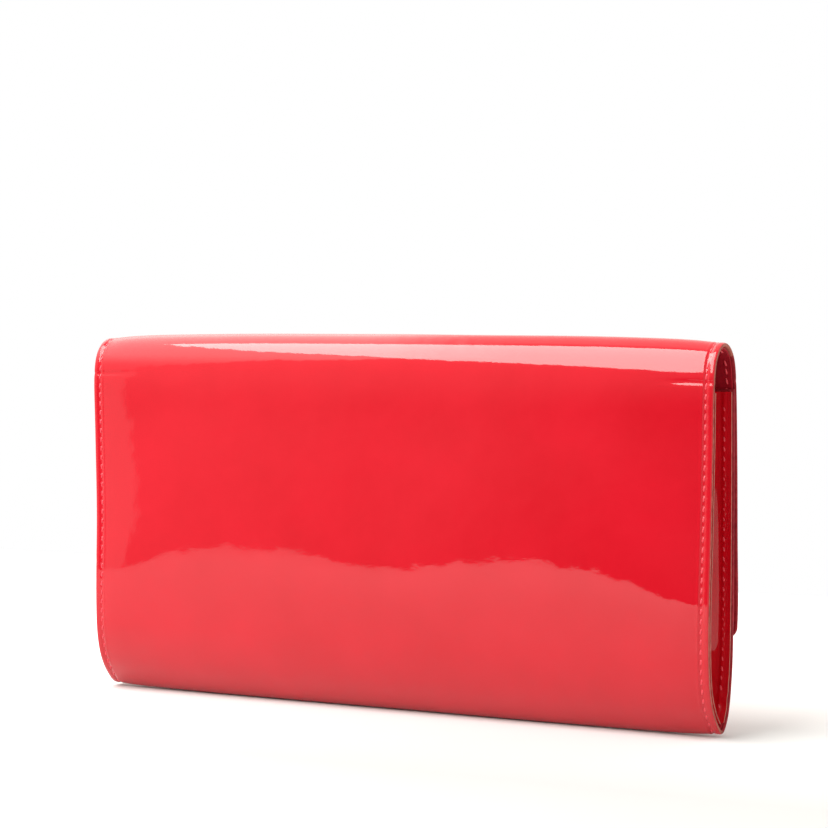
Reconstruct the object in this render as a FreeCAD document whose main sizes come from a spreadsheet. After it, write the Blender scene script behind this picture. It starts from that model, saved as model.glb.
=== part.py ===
import FreeCAD, Part
import os

import Sketcher

# Envelope clutch purse in patent leather, standing on its bottom fold.
# Millimetres. +X runs along the width, the flap side faces -Y, the back faces +Y and +Z is up.
# The origin is the bottom centre of the purse's box. Every wall is one constant side profile in
# the YZ plane, layered outside to inside as leather, board and lining, and padded along X.
# Four rigid bodies move on the back wall and its bottom fold: the front wall, which tilts about
# the fold, and a chain of the arch's back half, its front half and the flap. The chain's three
# hinge lines lie on the outer leather at the arch's two feet and its crest, so the arch unrolls
# as the flap lifts.

# Driving dimensions: plain numbers in millimetres.
DRIVING = [
    ("width", 280.0),            # along X, over the side edges
    ("total_height", 150.0),     # base to the crest of the arch
    ("depth", 30.0),             # back leather to flap leather
    ("mouth_level", 133.0),      # top edge of the back wall, where the flap bends
    ("front_drop", 2.0),         # how far the front wall stops below the mouth
    ("leather", 1.6),            # outer leather
    ("board", 1.2),              # stiffening board or foam between leather and lining
    ("lining", 0.8),             # lining fabric
    ("flap_gap", 1.0),           # closed flap's lining to the front wall's leather
    ("fold_height", 26.0),       # where the bottom fold's curves meet the upright walls
    ("fold_slit", 0.4),          # slit between the fold and the tilting front wall
    ("base_flat", 10.0),         # width of the strip that the purse stands on
    ("base_centre", -1.2),       # its middle, under the centre of mass
    ("flap_end", 36.0),          # height of the flap's free edge
    ("flap_corner", 4.5),        # radius of the flap's free corners
    ("board_inset", 8.0),        # boards stop inside the side seams
    ("lining_inset", 1.0),       # linings stop just inside the painted edges
    ("facing_drop", 24.0),       # height of the leather facings at the mouth
    ("facing", 0.8),             # their thickness
    ("facing_reach", 127.0),     # half of their width, clear of the gussets
    ("gusset_heel", 132.0),      # where a gusset leaves its sewn flange
    ("gusset_fold", 116.0),      # its inward fold line
    ("gusset_wall", 1.2),        # gusset leather
    ("gusset_slant", 2.6),       # the same wall measured along X on the slanting legs
    ("gusset_heel_shift", 0.8),  # how far the leg's inner face starts inside the heel
    ("gusset_cover", 1.8),       # gusset lining measured along X on the legs
    ("gusset_top_drop", 3.0),    # gusset top below the mouth
    ("pocket_width", 130.0),     # slip pocket on the back lining
    ("pocket_foot", 32.0),
    ("pocket_top", 104.0),
    ("pocket_room", 1.2),        # inside depth of the flat pocket
    ("pocket_seam", 3.0),        # sewn border of the pocket
    ("binding", 0.4),            # strip folded over the pocket's top edge
    ("binding_drop", 5.0),
    ("seam_inset", 3.2),         # side seams from the side edges
    ("thread_wide", 0.8),
    ("thread_proud", 0.3),
    ("thread_gap", 0.6),         # threads stop short of each bend line
    ("snap_level", 60.0),        # height of the magnetic snap's axis
    ("socket_radius", 9.0),
    ("socket_shell", 0.4),
    ("socket_deep", 2.4),
    ("socket_mouth", 2.9),       # radius of the hole that takes the post
    ("snap_seat", 9.3),          # radius of the seats cut for the snap's parts
    ("stud_plate", 0.5),
    ("post_radius", 2.0),
    ("post_long", 1.5),
    ("washer", 0.4),
    ("prong_offset", 3.5),       # prongs from the snap's axis along X
    ("prong_thick", 0.5),
    ("prong_wide", 3.0),
    ("prong_slack", 0.3),        # extra size of the slots around each prong
    ("patch_wide", 34.0),        # leather patch inside the front behind the snap
    ("patch_high", 28.0),
]

# Derived levels: spreadsheet formulas of the driving cells.
DERIVED = [
    ("seam_skin", "leather + board"),
    ("wall", "leather + board + lining"),
    # Y of each layer in the back wall, outside to inside.
    ("back_outer", "depth / 2"),
    ("back_board", "back_outer - leather"),
    ("back_liner", "back_outer - seam_skin"),
    ("back_inner", "back_outer - wall"),
    ("back_facing_inner", "back_inner - facing"),
    # Y of each layer in the flap.
    ("flap_outer", "0 - depth / 2"),
    ("flap_board", "flap_outer + leather"),
    ("flap_liner", "flap_outer + seam_skin"),
    ("flap_inner", "flap_outer + wall"),
    # Y of each layer in the front wall.
    ("front_outer", "flap_inner + flap_gap"),
    ("front_board", "front_outer + leather"),
    ("front_liner", "front_outer + seam_skin"),
    ("front_inner", "front_outer + wall"),
    ("front_facing_inner", "front_inner + facing"),
    # Heights.
    ("front_top", "mouth_level - front_drop"),
    ("front_foot", "fold_height + fold_slit"),
    ("facing_foot", "mouth_level - facing_drop"),
    ("gusset_top", "mouth_level - gusset_top_drop"),
    # The bottom fold: a flat strip between two arcs that are upright where they meet the walls.
    ("back_run", "back_outer - base_centre - base_flat / 2"),
    ("front_run", "base_centre - base_flat / 2 - front_outer"),
    ("back_sweep", "(back_run ^ 2 + fold_height ^ 2) / (2 * back_run)"),
    ("front_sweep", "(front_run ^ 2 + fold_height ^ 2) / (2 * front_run)"),
    ("back_hub", "back_outer - back_sweep"),
    ("front_hub", "front_outer + front_sweep"),
    # The arch: a half circle per layer about one centre line.
    ("arch_outer", "depth / 2"),
    ("arch_board", "arch_outer - leather"),
    ("arch_liner", "arch_outer - seam_skin"),
    ("arch_inner", "arch_outer - wall"),
    ("arch_level", "total_height - arch_outer"),
    ("crest_outer", "arch_level + arch_outer"),
    ("crest_board", "arch_level + arch_board"),
    ("crest_liner", "arch_level + arch_liner"),
    ("crest_inner", "arch_level + arch_inner"),
    # Widths along X.
    ("board_width", "width - 2 * board_inset"),
    ("lining_width", "width - 2 * lining_inset"),
    ("facing_width", "2 * facing_reach"),
    ("half_width", "width / 2"),
    # Gusset, right side, seen from above.
    ("gusset_middle", "(back_inner + front_inner) / 2"),
    ("gusset_back", "back_inner - gusset_wall"),
    ("gusset_front", "front_inner + gusset_wall"),
    ("gusset_fold_inner", "gusset_fold - gusset_slant"),
    ("gusset_heel_inner", "gusset_heel - gusset_heel_shift"),
    ("gusset_lining_fold", "gusset_fold_inner - gusset_cover"),
    ("gusset_lining_heel", "gusset_heel_inner - gusset_cover"),
    # Slip pocket and its binding.
    ("pocket_cavity", "back_inner - pocket_room"),
    ("pocket_face", "pocket_cavity - lining"),
    ("pocket_cavity_width", "pocket_width - 2 * pocket_seam"),
    ("pocket_cavity_foot", "pocket_foot + pocket_seam"),
    ("binding_face", "pocket_face - binding"),
    ("binding_back", "pocket_cavity + binding"),
    ("binding_foot", "pocket_top - binding_drop"),
    ("binding_top", "pocket_top + binding"),
    # Threads, standing proud of the leather along the side seams.
    ("seam_line", "half_width - seam_inset"),
    ("flap_thread_end", "flap_end + seam_inset"),
    ("back_thread_face", "back_outer + thread_proud"),
    ("front_thread_face", "front_outer - thread_proud"),
    ("flap_thread_face", "flap_outer - thread_proud"),
    ("thread_stop", "mouth_level - thread_gap"),
    ("thread_start", "mouth_level + thread_gap"),
    ("arch_thread", "arch_outer + thread_proud"),
    ("back_crest_gap", "thread_gap"),
    ("front_crest_gap", "0 - thread_gap"),
    ("crest_thread", "arch_level + sqrt(arch_thread ^ 2 - thread_gap ^ 2)"),
    ("crest_skin", "arch_level + sqrt(arch_outer ^ 2 - thread_gap ^ 2)"),
    # Magnetic snap along Y.
    ("socket_back", "front_outer + socket_deep"),
    ("magnet_face", "front_outer + socket_shell"),
    ("magnet_deep", "socket_deep - 2 * socket_shell"),
    ("magnet_radius", "socket_radius - socket_shell"),
    ("post_tip", "stud_plate + post_long"),
    ("stud_washer_face", "flap_liner - washer"),
    ("stud_prong_long", "lining + washer"),
    ("prong_left", "0 - prong_offset - prong_thick / 2"),
    ("prong_right", "prong_offset - prong_thick / 2"),
    ("prong_foot", "snap_level - prong_wide / 2"),
    ("slot_left", "prong_left - prong_slack / 2"),
    ("slot_right", "prong_right - prong_slack / 2"),
    ("slot_foot", "prong_foot - prong_slack / 2"),
    ("slot_thick", "prong_thick + prong_slack"),
    ("slot_wide", "prong_wide + prong_slack"),
    ("patch_foot", "snap_level - patch_high / 2"),
    ("patch_head", "snap_level + patch_high / 2"),
]

# Where each layer of the fold meets its flat bottom: name of the layer's depth, its Y on the back
# side and its Y on the front side.
FOLD_LAYERS = [("leather", "fold_board_back", "fold_board_front"),
               ("seam_skin", "fold_liner_back", "fold_liner_front"),
               ("wall", "fold_inner_back", "fold_inner_front")]

doc = FreeCAD.newDocument("clutch_purse")
sheet = doc.addObject("Spreadsheet::Sheet", "sizes")
row_count = 0
nodes = []


def cell(alias, content):
    """Add one spreadsheet row: its word alias and its content."""
    global row_count
    row_count += 1
    sheet.set("A%d" % row_count, alias)
    sheet.set("B%d" % row_count, content)
    sheet.setAlias("B%d" % row_count, alias)


def fill_sheet():
    """Write the driving numbers, then the derived levels."""
    for alias, number in DRIVING:
        cell(alias, str(number))
    for alias, formula in DERIVED:
        cell(alias, "=" + formula)
    for depth_in, back_name, front_name in FOLD_LAYERS:
        for side, sweep in (("back", "back_sweep"), ("front", "front_sweep")):
            cell("%s_%s_sweep" % (side, depth_in), "=%s - %s" % (sweep, depth_in))
        reach = "sqrt((%s - {0}) ^ 2 - (fold_height - {0}) ^ 2)".format(depth_in)
        cell(back_name, "=back_hub + " + reach % "back_sweep")
        cell(front_name, "=front_hub - " + reach % "front_sweep")
    cell("fold_outer_back", "=base_centre + base_flat / 2")
    cell("fold_outer_front", "=base_centre - base_flat / 2")
    doc.recompute()


def size(alias):
    """The present value of one cell; None stands for zero."""
    return 0.0 if alias is None else float(sheet.get(alias))


def bind(target, path, alias):
    """Bind one property to a cell."""
    target.setExpression(path, "sizes." + alias)


def new_body(node):
    """A PartDesign body that is one sub-part."""
    body = doc.addObject("PartDesign::Body", node)
    body.Label = node
    return body


def new_sketch(body, name, role):
    """An empty sketch on one of the body's own origin planes."""
    plane = [item for item in body.Origin.OriginFeatures if item.Role == role][0]
    sketch = body.newObject("Sketcher::SketchObject", name)
    sketch.AttachmentSupport = [(plane, "")]
    sketch.MapMode = "FlatFace"
    return sketch


def pin_point(sketch, geometry, place, across, up):
    """Hold one sketch point at the cells' values; None puts it on the axis."""
    for axis, kind, alias in ((-2, "DistanceX", across), (-1, "DistanceY", up)):
        if alias is None:
            sketch.addConstraint(Sketcher.Constraint("PointOnObject", geometry, place, axis))
        else:
            values = (kind, -1, 1, geometry, place, size(alias))
            number = sketch.addConstraint(Sketcher.Constraint(*values))
            bind(sketch, "Constraints[%d]" % number, alias)


def draw_loop(sketch, corners, arcs):
    """Draw a closed outline through the corners.

    corners holds pairs of cell names. arcs maps the number of an edge to its centre's two cells,
    its radius cell and whether it turns anticlockwise; every other edge is straight.
    """
    points = [FreeCAD.Vector(size(across), size(up), 0) for across, up in corners]
    count = len(points)
    ends = []
    for index in range(count):
        start = points[index]
        stop = points[(index + 1) % count]
        if index in arcs:
            hub_across, hub_up, radius, anticlockwise = arcs[index]
            hub = FreeCAD.Vector(size(hub_across), size(hub_up), 0)
            circle = Part.Circle(hub, FreeCAD.Vector(0, 0, 1), size(radius))
            first, last = (start, stop) if anticlockwise else (stop, start)
            curve = Part.ArcOfCircle(circle, circle.parameter(first), circle.parameter(last))
            ends.append((1, 2) if anticlockwise else (2, 1))
        else:
            curve = Part.LineSegment(start, stop)
            ends.append((1, 2))
        sketch.addGeometry(curve, False)
    for index in range(count):
        after = (index + 1) % count
        joint = (index, ends[index][1], after, ends[after][0])
        sketch.addConstraint(Sketcher.Constraint("Coincident", *joint))
    for index, (across, up) in enumerate(corners):
        pin_point(sketch, index, ends[index][0], across, up)
    for index, (_, _, radius, _) in arcs.items():
        number = sketch.addConstraint(Sketcher.Constraint("Radius", index, size(radius)))
        bind(sketch, "Constraints[%d]" % number, radius)


def rectangle(low_across, high_across, low_up, high_up):
    """Corner cells of an upright rectangle."""
    return [(low_across, low_up), (high_across, low_up), (high_across, high_up), (low_across, high_up)]


def pad_profile(node, corners, length, arcs=None):
    """A body padded evenly along X from a side profile in the YZ plane."""
    body = new_body(node)
    sketch = new_sketch(body, node + "_profile", "YZ_Plane")
    draw_loop(sketch, corners, arcs or {})
    pad = body.newObject("PartDesign::Pad", node + "_pad")
    pad.Profile = sketch
    pad.SideType = "Symmetric"
    bind(pad, "Length", length)
    doc.recompute()
    return body


def cut_through(body, name, outlines):
    """Cut outlines, drawn in the XZ plane, right through a body along Y."""
    before = body.Shape.Volume
    sketch = new_sketch(body, name, "XZ_Plane")
    for outline in outlines:
        if len(outline) == 2:
            up, radius = outline
            hub = FreeCAD.Vector(0, size(up), 0)
            circle = Part.Circle(hub, FreeCAD.Vector(0, 0, 1), size(radius))
            ring = sketch.addGeometry(circle, False)
            pin_point(sketch, ring, 3, None, up)
            number = sketch.addConstraint(Sketcher.Constraint("Radius", ring, size(radius)))
            bind(sketch, "Constraints[%d]" % number, radius)
        else:
            left, foot, wide, high = outline
            start = sketch.GeometryCount
            add_box_outline(sketch, start, left, foot, wide, high)
    pocket = body.newObject("PartDesign::Pocket", name + "_pocket")
    pocket.Profile = sketch
    pocket.SideType = "Symmetric"
    pocket.Type = "ThroughAll"
    doc.recompute()
    if not body.Shape.Volume < before:
        raise RuntimeError(name + " cut nothing")


def add_box_outline(sketch, start, left, foot, wide, high):
    """A rectangle from its low corner's cells and its two size cells."""
    x_low = size(left)
    z_low = size(foot)
    x_high = x_low + size(wide)
    z_high = z_low + size(high)
    points = [FreeCAD.Vector(x, z, 0) for x, z in
              ((x_low, z_low), (x_high, z_low), (x_high, z_high), (x_low, z_high))]
    for index in range(4):
        sketch.addGeometry(Part.LineSegment(points[index], points[(index + 1) % 4]), False)
    for index in range(4):
        after = (index + 1) % 4
        joint = (start + index, 2, start + after, 1)
        sketch.addConstraint(Sketcher.Constraint("Coincident", *joint))
        kind = "Horizontal" if index % 2 == 0 else "Vertical"
        sketch.addConstraint(Sketcher.Constraint(kind, start + index))
    pin_point(sketch, start, 1, left, foot)
    for edge, kind, alias in ((start, "DistanceX", wide), (start + 1, "DistanceY", high)):
        span = Sketcher.Constraint(kind, edge, 1, edge, 2, size(alias))
        number = sketch.addConstraint(span)
        bind(sketch, "Constraints[%d]" % number, alias)


def wall_profile(outer, inner, top):
    """Side profile of one layer of the back wall, carried on round the bottom fold.

    outer and inner name the layer's faces; top is the cell of its upper edge, or None for a layer
    that covers the fold only.
    """
    faces = {
        "leather": ("back_outer", "front_outer", None, "fold_outer_back", "fold_outer_front",
                    "back_sweep", "front_sweep"),
        "board": ("back_board", "front_board", "leather", "fold_board_back", "fold_board_front",
                  "back_leather_sweep", "front_leather_sweep"),
        "liner": ("back_liner", "front_liner", "seam_skin", "fold_liner_back", "fold_liner_front",
                  "back_seam_skin_sweep", "front_seam_skin_sweep"),
        "inside": ("back_inner", "front_inner", "wall", "fold_inner_back", "fold_inner_front",
                   "back_wall_sweep", "front_wall_sweep"),
    }
    back_a, front_a, level_a, fold_back_a, fold_front_a, back_arc_a, front_arc_a = faces[outer]
    back_b, front_b, level_b, fold_back_b, fold_front_b, back_arc_b, front_arc_b = faces[inner]
    corners = [(back_a, "fold_height"), (fold_back_a, level_a), (fold_front_a, level_a),
               (front_a, "fold_height"), (front_b, "fold_height"), (fold_front_b, level_b),
               (fold_back_b, level_b), (back_b, "fold_height")]
    arcs = {0: ("back_hub", "fold_height", back_arc_a, False),
            2: ("front_hub", "fold_height", front_arc_a, False),
            4: ("front_hub", "fold_height", front_arc_b, True),
            6: ("back_hub", "fold_height", back_arc_b, True)}
    if top is not None:
        corners += [(back_b, top), (back_a, top)]
    return corners, arcs


def arch_profile(foot_outer, foot_inner, radius_outer, radius_inner, crest, backwards):
    """Side profile of one half of the arch: upright at its foot, then a quarter circle.

    foot_outer and foot_inner hold the Y of the layer's faces, crest its two heights at the top and
    backwards says that the half is the back one.
    """
    corners = [(foot_outer, "mouth_level"), (foot_outer, "arch_level"), (None, crest[0]),
               (None, crest[1]), (foot_inner, "arch_level"), (foot_inner, "mouth_level")]
    arcs = {1: (None, "arch_level", radius_outer, backwards),
            3: (None, "arch_level", radius_inner, not backwards)}
    return corners, arcs


def round_flap_corners(body, pad_name):
    """Round the free corners of a flap layer."""
    pad = doc.getObject(pad_name)
    names = []
    for number, edge in enumerate(pad.Shape.Edges, 1):
        low = edge.BoundBox
        across = low.XLength < 0.01 and low.ZLength < 0.01
        if across and abs(low.ZMin - size("flap_end")) < 0.01:
            names.append("Edge%d" % number)
    fillet = body.newObject("PartDesign::Fillet", body.Name + "_corners")
    fillet.Base = (pad, names)
    bind(fillet, "Radius", "flap_corner")
    doc.recompute()


def keep(part, node):
    """Register an object as the sub-part called node."""
    part.Label = node
    nodes.append((node, part))
    return part


def mirror_left(node, source):
    """The left-hand twin of a right-hand sub-part."""
    twin = doc.addObject("Part::Mirroring", node)
    twin.Source = source
    twin.Normal = FreeCAD.Vector(1, 0, 0)
    keep(twin, node)


def disc(name, radius, start, length):
    """A cylinder on the snap's axis: its radius, its near Y and its length towards +Y."""
    item = doc.addObject("Part::Cylinder", name)
    turn = FreeCAD.Rotation(FreeCAD.Vector(1, 0, 0), -90)
    item.Placement = FreeCAD.Placement(FreeCAD.Vector(0, 0, 0), turn)
    bind(item, "Radius", radius)
    bind(item, "Height", length)
    bind(item, "Placement.Base.y", start)
    bind(item, "Placement.Base.z", "snap_level")
    return item


def block(name, left, start, foot, wide, length, high):
    """A box from its low corner's cells and its three sizes along X, Y and Z."""
    item = doc.addObject("Part::Box", name)
    bind(item, "Length", wide)
    bind(item, "Width", length)
    bind(item, "Height", high)
    bind(item, "Placement.Base.x", left)
    bind(item, "Placement.Base.y", start)
    bind(item, "Placement.Base.z", foot)
    return item


def joined(name, items):
    """Fuse several shapes."""
    fuse = doc.addObject("Part::MultiFuse", name)
    fuse.Shapes = items
    return fuse


def less(name, base, tool):
    """Cut one shape from another."""
    result = doc.addObject("Part::Cut", name)
    result.Base = base
    result.Tool = tool
    return result


def prong_pair(name, start, length):
    """The two prongs behind a snap half."""
    return [block(name + "_" + side, "prong_" + side, start, "prong_foot", "prong_thick", length,
                  "prong_wide") for side in ("left", "right")]


def slot_pair(name, start, length):
    """The slots that the prongs pass through."""
    return [block(name + "_" + side, "slot_" + side, start, "slot_foot", "slot_thick", length,
                  "slot_wide") for side in ("left", "right")]


def build_back():
    """Back wall with the bottom fold: leather, boards, lining and the facing at the mouth."""
    corners, arcs = wall_profile("leather", "board", "mouth_level")
    keep(pad_profile("back_panel", corners, "width", arcs), "back_panel")
    corners, arcs = wall_profile("board", "liner", None)
    keep(pad_profile("base_stiffener", corners, "board_width", arcs), "base_stiffener")
    corners = rectangle("back_liner", "back_board", "fold_height", "mouth_level")
    keep(pad_profile("back_stiffener", corners, "board_width"), "back_stiffener")
    corners, arcs = wall_profile("liner", "inside", "mouth_level")
    keep(pad_profile("back_lining", corners, "lining_width", arcs), "back_lining")
    corners = rectangle("back_facing_inner", "back_inner", "facing_foot", "mouth_level")
    keep(pad_profile("back_facing", corners, "facing_width"), "back_facing")


def build_pocket():
    """Flat slip pocket sewn to the back lining, open at the top, with a bound edge."""
    corners = rectangle("pocket_face", "back_inner", "pocket_foot", "pocket_top")
    pouch = pad_profile("pocket_pouch", corners, "pocket_width")
    corners = rectangle("pocket_cavity", "back_inner", "pocket_cavity_foot", "binding_top")
    room = pad_profile("pocket_room_tool", corners, "pocket_cavity_width")
    keep(less("slip_pocket", pouch, room), "slip_pocket")
    corners = [("binding_face", "binding_foot"), ("pocket_face", "binding_foot"),
               ("pocket_face", "pocket_top"), ("pocket_cavity", "pocket_top"),
               ("pocket_cavity", "binding_foot"), ("binding_back", "binding_foot"),
               ("binding_back", "binding_top"), ("binding_face", "binding_top")]
    keep(pad_profile("pocket_binding", corners, "pocket_cavity_width"), "pocket_binding")


def gusset_solid(node, corners):
    """A folded strip standing from the base to the gusset's top, kept inside the lining."""
    body = new_body(node + "_strip")
    sketch = new_sketch(body, node + "_plan", "XY_Plane")
    draw_loop(sketch, corners, {})
    pad = body.newObject("PartDesign::Pad", node + "_pad")
    pad.Profile = sketch
    bind(pad, "Length", "gusset_top")
    doc.recompute()
    inside = doc.addObject("Part::Common", node)
    inside.Base = body
    inside.Tool = doc.getObject("inside_space")
    keep(inside, node)
    return inside


def build_gussets():
    """Side gussets folded inwards, each with its own lining."""
    corners = [("back_inner", "gusset_top"), ("back_inner", "fold_height"), ("fold_inner_back", "wall"),
               ("fold_inner_front", "wall"), ("front_inner", "fold_height"),
               ("front_inner", "gusset_top")]
    arcs = {1: ("back_hub", "fold_height", "back_wall_sweep", False),
            3: ("front_hub", "fold_height", "front_wall_sweep", False)}
    pad_profile("inside_space", corners, "width", arcs)
    leather_plan = [("half_width", "back_inner"), ("half_width", "gusset_back"),
                    ("gusset_heel", "gusset_back"), ("gusset_fold", "gusset_middle"),
                    ("gusset_heel", "gusset_front"), ("half_width", "gusset_front"),
                    ("half_width", "front_inner"), ("gusset_heel_inner", "front_inner"),
                    ("gusset_fold_inner", "gusset_middle"), ("gusset_heel_inner", "back_inner")]
    lining_plan = [("gusset_heel_inner", "back_inner"), ("gusset_fold_inner", "gusset_middle"),
                   ("gusset_heel_inner", "front_inner"), ("gusset_lining_heel", "front_inner"),
                   ("gusset_lining_fold", "gusset_middle"), ("gusset_lining_heel", "back_inner")]
    mirror_left("gusset_left", gusset_solid("gusset_right", leather_plan))
    mirror_left("gusset_lining_left", gusset_solid("gusset_lining_right", lining_plan))


def build_front():
    """Front wall: leather, board and lining, with the facing, and a patch behind the snap."""
    corners = rectangle("front_outer", "front_board", "front_foot", "front_top")
    body = keep(pad_profile("front_panel", corners, "width"), "front_panel")
    cut_through(body, "front_seat", [("snap_level", "snap_seat")])
    corners = rectangle("front_board", "front_liner", "front_foot", "front_top")
    body = keep(pad_profile("front_stiffener", corners, "board_width"), "front_stiffener")
    cut_through(body, "front_board_seat", [("snap_level", "snap_seat")])
    corners = rectangle("front_liner", "front_inner", "front_foot", "front_top")
    keep(pad_profile("front_lining", corners, "lining_width"), "front_lining")
    corners = rectangle("front_inner", "front_facing_inner", "facing_foot", "front_top")
    keep(pad_profile("front_facing", corners, "facing_width"), "front_facing")
    corners = rectangle("front_inner", "front_facing_inner", "patch_foot", "patch_head")
    keep(pad_profile("socket_patch", corners, "patch_wide"), "socket_patch")


def build_arch():
    """Arch over the mouth in two halves: leather, foam and lining."""
    layers = [("leather", "outer", "board", "width"), ("foam", "board", "liner", "board_width"),
              ("lining", "liner", "inner", "lining_width")]
    for half, wall, backwards in (("arch_back", "back_", True), ("arch_front", "flap_", False)):
        for layer, outside, inside, length in layers:
            corners, arcs = arch_profile(wall + outside, wall + inside, "arch_" + outside,
                                         "arch_" + inside, ("crest_" + outside, "crest_" + inside),
                                         backwards)
            node = "%s_%s" % (half, layer)
            keep(pad_profile(node, corners, length, arcs), node)


def build_flap():
    """Flap hanging from the arch's front foot: leather, foam board and lining."""
    corners = rectangle("flap_outer", "flap_board", "flap_end", "mouth_level")
    body = keep(pad_profile("flap_panel", corners, "width"), "flap_panel")
    round_flap_corners(body, "flap_panel_pad")
    corners = rectangle("flap_board", "flap_liner", "flap_end", "mouth_level")
    body = keep(pad_profile("flap_stiffener", corners, "board_width"), "flap_stiffener")
    round_flap_corners(body, "flap_stiffener_pad")
    cut_through(body, "flap_board_seat", [("snap_level", "snap_seat")])
    corners = rectangle("flap_liner", "flap_inner", "flap_end", "mouth_level")
    body = keep(pad_profile("flap_lining", corners, "lining_width"), "flap_lining")
    round_flap_corners(body, "flap_lining_pad")
    slots = [("slot_left", "slot_foot", "slot_thick", "slot_wide"),
             ("slot_right", "slot_foot", "slot_thick", "slot_wide")]
    cut_through(body, "flap_lining_slots", slots)


def build_snap():
    """Magnetic snap: a cup with a ring magnet in the front and a plate with a post on the flap."""
    cup = joined("cup", [disc("cup_round", "socket_radius", "front_outer", "socket_deep")]
                 + prong_pair("cup_prong", "socket_back", "washer"))
    hollow = joined("cup_hollow", [disc("cup_room", "magnet_radius", "magnet_face", "magnet_deep"),
                                   disc("cup_mouth", "socket_mouth", "front_outer", "socket_shell")])
    keep(less("snap_socket", cup, hollow), "snap_socket")
    ring = disc("magnet_round", "magnet_radius", "magnet_face", "magnet_deep")
    bore = disc("magnet_bore", "socket_mouth", "magnet_face", "magnet_deep")
    keep(less("snap_magnet", ring, bore), "snap_magnet")
    plate = disc("socket_washer_round", "socket_radius", "socket_back", "washer")
    slots = joined("socket_slots", slot_pair("socket_slot", "socket_back", "washer"))
    keep(less("socket_washer", plate, slots), "socket_washer")
    stud = [disc("stud_round", "socket_radius", "flap_inner", "stud_plate"),
            disc("stud_post", "post_radius", "flap_inner", "post_tip")]
    stud += prong_pair("stud_prong", "stud_washer_face", "stud_prong_long")
    keep(joined("snap_stud", stud), "snap_stud")
    plate = disc("stud_washer_round", "socket_radius", "stud_washer_face", "washer")
    slots = joined("stud_slots", slot_pair("stud_slot", "stud_washer_face", "washer"))
    keep(less("stud_washer", plate, slots), "stud_washer")


def thread_strip(node, corners, arcs=None):
    """A thread line proud of the leather along the right side seam, and its left-hand twin."""
    body = pad_profile(node, corners, "thread_wide", arcs)
    bind(body, "Placement.Base.x", "seam_line")
    doc.recompute()
    keep(body, node)
    mirror_left(node.replace("right", "left"), body)


def build_threads():
    """Side seam threads on the outside of the back, the arch, the flap and the front."""
    corners = rectangle("back_outer", "back_thread_face", "fold_height", "thread_stop")
    thread_strip("back_thread_right", corners)
    corners = rectangle("front_thread_face", "front_outer", "front_foot", "front_top")
    thread_strip("front_thread_right", corners)
    corners = rectangle("flap_thread_face", "flap_outer", "flap_thread_end", "thread_stop")
    thread_strip("flap_thread_right", corners)
    halves = [("arch_back", "back_thread_face", "back_outer", "back_crest_gap", True),
              ("arch_front", "flap_thread_face", "flap_outer", "front_crest_gap", False)]
    for half, face, skin, gap, backwards in halves:
        corners = [(face, "thread_start"), (face, "arch_level"), (gap, "crest_thread"),
                   (gap, "crest_skin"), (skin, "arch_level"), (skin, "thread_start")]
        arcs = {1: (None, "arch_level", "arch_thread", backwards),
                3: (None, "arch_level", "arch_outer", not backwards)}
        thread_strip(half + "_thread_right", corners, arcs)


def check_document():
    """Stop on any failed object or bad sub-part shape."""
    doc.recompute()
    for item in doc.Objects:
        bad = [word for word in item.State if word in ("Invalid", "Error")]
        if bad:
            raise RuntimeError("%s is %s" % (item.Name, bad))
    for node, item in nodes:
        shape = item.Shape
        if shape.isNull() or not shape.isValid() or len(shape.Solids) != 1:
            raise RuntimeError("bad shape in " + node)


def write_parts():
    """Write one STEP file per sub-part."""
    os.makedirs("parts", exist_ok=True)
    for node, item in nodes:
        item.Shape.exportStep("parts/%s.step" % node)
        box = item.Shape.BoundBox
        print("%-22s %9.1f mm3  x %7.1f..%6.1f  y %6.1f..%5.1f  z %5.1f..%5.1f" % (
            node, item.Shape.Volume, box.XMin, box.XMax, box.YMin, box.YMax, box.ZMin, box.ZMax))


fill_sheet()
build_back()
build_pocket()
build_gussets()
build_front()
build_arch()
build_flap()
build_snap()
build_threads()
check_document()
write_parts()
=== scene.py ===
import math

import bmesh
import bpy
import numpy as np
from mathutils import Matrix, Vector


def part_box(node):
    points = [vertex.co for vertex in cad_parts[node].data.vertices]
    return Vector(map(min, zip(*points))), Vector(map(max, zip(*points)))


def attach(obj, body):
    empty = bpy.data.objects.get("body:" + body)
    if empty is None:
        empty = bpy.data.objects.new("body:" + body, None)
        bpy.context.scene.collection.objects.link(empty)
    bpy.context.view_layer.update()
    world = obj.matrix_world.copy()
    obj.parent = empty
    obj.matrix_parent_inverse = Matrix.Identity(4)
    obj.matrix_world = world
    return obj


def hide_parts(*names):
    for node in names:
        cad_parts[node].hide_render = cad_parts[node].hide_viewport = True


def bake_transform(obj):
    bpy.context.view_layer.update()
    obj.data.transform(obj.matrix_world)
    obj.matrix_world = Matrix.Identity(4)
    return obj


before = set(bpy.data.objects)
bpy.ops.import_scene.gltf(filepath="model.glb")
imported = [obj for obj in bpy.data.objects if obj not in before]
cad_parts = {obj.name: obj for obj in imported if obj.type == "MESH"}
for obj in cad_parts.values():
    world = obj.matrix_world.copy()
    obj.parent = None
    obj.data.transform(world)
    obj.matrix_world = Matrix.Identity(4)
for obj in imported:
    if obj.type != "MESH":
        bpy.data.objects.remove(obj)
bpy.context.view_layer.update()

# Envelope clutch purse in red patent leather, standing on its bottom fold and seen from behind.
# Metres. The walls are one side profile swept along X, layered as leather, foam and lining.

MM = 0.001

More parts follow.
